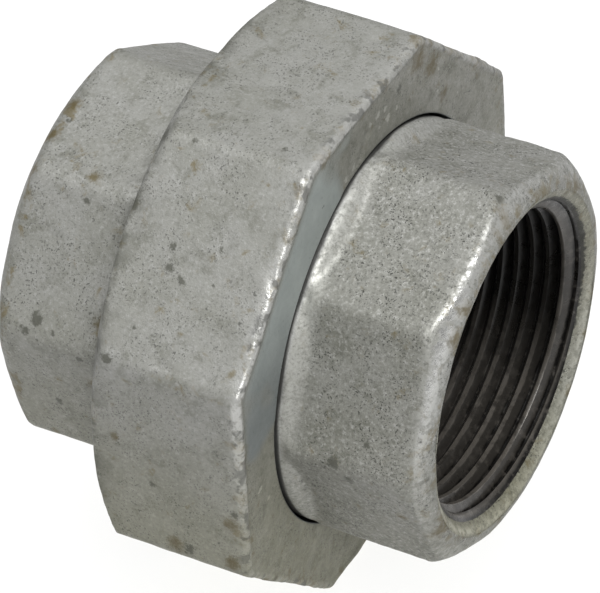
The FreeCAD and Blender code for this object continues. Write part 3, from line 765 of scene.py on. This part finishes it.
def cast_material(name, tone, speckle, shift, low_tint):
    """Hot-dip zinc on a rough casting, with stains, painted highlights and painted shade, and a tool-faced
    finish where the mesh says so.
    """
    s = Shader(name)
    mottle = s.grain(0.50, 4, 0.72, shift + 3)
    fine = s.grain(0.24, 2, 0.6, shift + 1)
    pin = s.spread(s.grain(1.3, 2, 0.6, shift + 8), 0.70, 0.78)
    ragged = s.spread(s.grain(0.9, 5, 0.75, shift + 20), 0.3, 0.7, -0.35, 0.35)
    grains = s.spread(s.grain(1.0, 3, 0.6, shift + 15), 0.40, 0.56, 0.22, 1.0)
    # bare zinc where the mesh marks a glint, lightened as a painted highlight
    wear_and_highlight = s.times(s.mark("glint"), grains)
    faced, height = s.mark("faced"), s.height()

    colour = zinc(s, tone, speckle, shift, mottle, fine)
    colour = stained(s, colour, shift, pin, ragged)
    colour = scuffed(s, colour, tone, shift, mottle, wear_and_highlight, ragged)
    # painted shade on the tail's upper-left flats
    colour = s.mix(s.mark("soil"), colour, SIDE_SHADE, "MULTIPLY")
    # darker and yellower towards the bottom
    colour = s.mix(s.spread(height, 0.016, -0.020, 0.0, low_tint), colour, LOW_TINT, "MULTIPLY")
    colour = s.mix(s.mark("aged"), colour, AGED, "MULTIPLY")
    colour = s.mix(faced, colour, tooled(s, shift, pin, height))
    # painted shade in the gap and inside the nut
    colour = s.mix(s.times(s.mark("dark"), 0.9), colour, GAP_SHADE)

    rough = s.spread(s.grain(1.4, 2, 0.5, shift + 7), 0.3, 0.7, 0.50, 0.66)
    rough = s.calc("SUBTRACT", rough, s.times(wear_and_highlight, 0.30))
    metal = s.plus(s.spread(mottle, 0.35, 0.7, 0.05, 0.30), s.times(wear_and_highlight, 0.5))
    relief = s.plus(s.times(fine, 0.45), mottle)
    keep = s.spread(faced, 0.0, 1.0, 1.0, 0.15, smooth=False)
    normal = s.bump(s.times(relief, keep), 0.095, 0.75)
    return s.finish(Base_Color=colour, Metallic=metal, Roughness=rough, Normal=normal)


def thread_material(name, shift):
    """Cut threads left bare, under dark brown oil that lies thickest in their roots, where it also stands
    as painted shade, and with lighter crest tips, bare metal and a painted highlight.
    """
    s = Shader(name)
    cloud = s.spread(s.grain(2.6, 4, 0.65, shift), 0.3, 0.7, -0.10, 0.10)
    crest = s.plus(s.mark("crest"), cloud)
    # roots near black: oil and painted shade
    colour = s.mix(s.spread(crest, 0.08, 0.34), brown(0.004), brown(0.037))
    blotch = s.spread(s.grain(1.3, 4, 0.7, shift + 9), 0.50, 0.66, 0.0, 0.6)
    colour = s.mix(blotch, colour, brown(0.085))
    # crest tips lighter: bare metal and a painted highlight
    colour = s.mix(s.spread(crest, 0.90, 1.02, 0.0, 0.55), colour, brown(0.15))
    patchy = s.spread(s.grain(1.5, 4, 0.7, shift + 4), 0.35, 0.65, 0.5, 1.0)
    colour = s.mix(s.times(s.mark("mouth"), patchy), colour, brown(0.095))
    # oil, with painted shade on the upper wall and deeper in
    colour = s.mix(s.times(s.mark("oil"), 0.93), colour, brown(0.003))
    rough = s.spread(s.grain(1.6, 3, 0.6, shift + 2), 0.3, 0.7, 0.24, 0.44)
    normal = s.bump(s.grain(0.4, 3, 0.6, shift + 6), 0.04, 0.6)
    return s.finish(Base_Color=colour, Metallic=0.25, Roughness=rough, Normal=normal)


def brass_material():
    """Turned brass, with fine tool rings round the axis."""
    s = Shader("brass_turned")
    cloud = s.grain(3.0, 3, 0.6)
    colour = s.mix(s.spread(cloud, 0.35, 0.65), (0.42, 0.27, 0.09, 1.0), (0.66, 0.46, 0.19, 1.0))
    wave = s.add("ShaderNodeTexWave", wave_type="RINGS", rings_direction="X")
    s.put(wave.inputs["Vector"], s.place)
    s.put(wave.inputs["Scale"], 2200.0)
    s.put(wave.inputs["Distortion"], 1.0)
    rough = s.spread(s.grain(1.2, 3, 0.6, 2.0), 0.3, 0.7, 0.22, 0.4)
    normal = s.bump(wave.outputs["Fac"], 0.01, 0.5)
    return s.finish(Base_Color=colour, Metallic=1.0, Roughness=rough, Normal=normal)


nut_cast = cast_material("zinc_on_nut", tone=0.228, speckle=0.75, shift=0.0, low_tint=0.9)
tail_cast = cast_material("zinc_on_tail", tone=0.212, speckle=1.7, shift=21.0, low_tint=0.40)
fixed_cast = cast_material("zinc_on_fixed_end", tone=0.228, speckle=0.85, shift=43.0, low_tint=0.60)
oily = thread_material("oiled_thread", shift=4.0)

nut = make_nut([nut_cast, oily])
tail = make_tail([tail_cast, oily])
fixed = make_thread_piece([fixed_cast, oily])
for piece, node, body, finish in (
    (nut, "union_nut", "nut", "nut_casting"),
    (tail, "tail_piece", "loose_end", "end_casting"),
    (fixed, "thread_piece", "fixed_end", "end_casting"),
):
    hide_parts(node)
    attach(piece, body)
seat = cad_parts["brass_seat_ring"]
brass = brass_material()
if not seat.material_slots:
    seat.data.materials.append(brass)
for holder in seat.material_slots:
    holder.material = brass


# ---------------------------------------------------------------- floor, light and camera

# metres and watts
FLOOR_REACH = 3.0
KEY = {"place": (0.22, -0.22, 1.1), "size": 0.9, "power": 16.5}
FRONT = {"place": (0.45, -0.58, 0.95), "size": 0.28, "power": 4.5}
OVER_FLOOR = {"place": (0, 0, 1.5), "size": 2.0, "power": 32.5}
WORLD_STRENGTH = 0.22

# degrees and millimetres
CAMERA_AZIMUTH, CAMERA_ELEVATION, CAMERA_ROLL = 29.76, 41.60, -2.99
CAMERA_DISTANCE, CAMERA_LENS = 657.2, 308.07
CAMERA_AIM = Vector((0.6, 0.0, 0.0))
CAMERA_LEFT, CAMERA_DOWN = 0.415, 0.168


def link(obj):
    bpy.context.scene.collection.objects.link(obj)


def make_floor():
    """The plain white floor, and the collection that its own light shines on."""
    mesh = bpy.data.meshes.new("floor")
    reach, z = FLOOR_REACH, FLOOR_Z * MM
    corners = [(-reach, -reach, z), (reach, -reach, z), (reach, reach, z), (-reach, reach, z)]
    mesh.from_pydata(corners, [], [(0, 1, 2, 3)])
    floor = bpy.data.objects.new("floor", mesh)
    link(floor)
    lit = bpy.data.collections.new("lit_as_floor")
    lit.objects.link(floor)
    s = Shader("floor_white")
    colour = s.mix(s.grain(60.0, 2, 0.5), (0.90, 0.90, 0.90, 1.0), (0.93, 0.93, 0.93, 1.0))
    mesh.materials.append(s.finish(Base_Color=colour, Roughness=0.9))
    return lit


def area_light(name, place, size, power):
    """A round soft light that faces the origin."""
    data = bpy.data.lights.new(name, "AREA")
    data.shape = "DISK"
    data.size = size
    data.energy = power
    light = bpy.data.objects.new(name, data)
    light.location = place
    light.rotation_mode = "QUATERNION"
    light.rotation_quaternion = (-Vector(place)).to_track_quat("-Z", "Y")
    link(light)
    return light


def make_world(strength):
    world = bpy.data.worlds.new("studio")
    world.use_nodes = True
    back = world.node_tree.nodes["Background"]
    back.inputs["Color"].default_value = (1.0, 1.0, 1.0, 1.0)
    back.inputs["Strength"].default_value = strength
    bpy.context.scene.world = world


def make_camera():
    azimuth, elevation, roll = (math.radians(v) for v in (CAMERA_AZIMUTH, CAMERA_ELEVATION, CAMERA_ROLL))
    back = Vector((math.sin(azimuth) * math.cos(elevation), -math.cos(azimuth) * math.cos(elevation),
                   math.sin(elevation)))
    right = Vector((math.cos(azimuth), math.sin(azimuth), 0.0))
    up = back.cross(right)
    side = right * math.cos(roll) + up * math.sin(roll)
    top = up * math.cos(roll) - right * math.sin(roll)
    data = bpy.data.cameras.new("camera")
    data.lens = CAMERA_LENS
    data.sensor_width = 36.0
    data.sensor_fit = "HORIZONTAL"
    data.clip_start = 0.05
    data.clip_end = 20.0
    camera = bpy.data.objects.new("camera", data)
    camera.rotation_mode = "QUATERNION"
    camera.rotation_quaternion = Matrix((side, top, back)).transposed().to_quaternion()
    place = CAMERA_AIM + back * CAMERA_DISTANCE - side * CAMERA_LEFT - top * CAMERA_DOWN
    camera.location = place * MM
    link(camera)
    bpy.context.scene.camera = camera


# the floor has a light of its own, so that it stays white under a darker object
lit_as_floor = make_floor()
lit_as_union = bpy.data.collections.new("lit_as_union")
for piece in (nut, tail, fixed, seat):
    lit_as_union.objects.link(piece)
make_world(WORLD_STRENGTH)
for name, facts in (("key", KEY), ("front", FRONT)):
    area_light(name, **facts).light_linking.receiver_collection = lit_as_union
over_floor = area_light("over_floor", **OVER_FLOOR)
over_floor.light_linking.receiver_collection = lit_as_floor
over_floor.light_linking.blocker_collection = lit_as_floor
make_camera()
bpy.context.scene.view_settings.view_transform = "Standard"
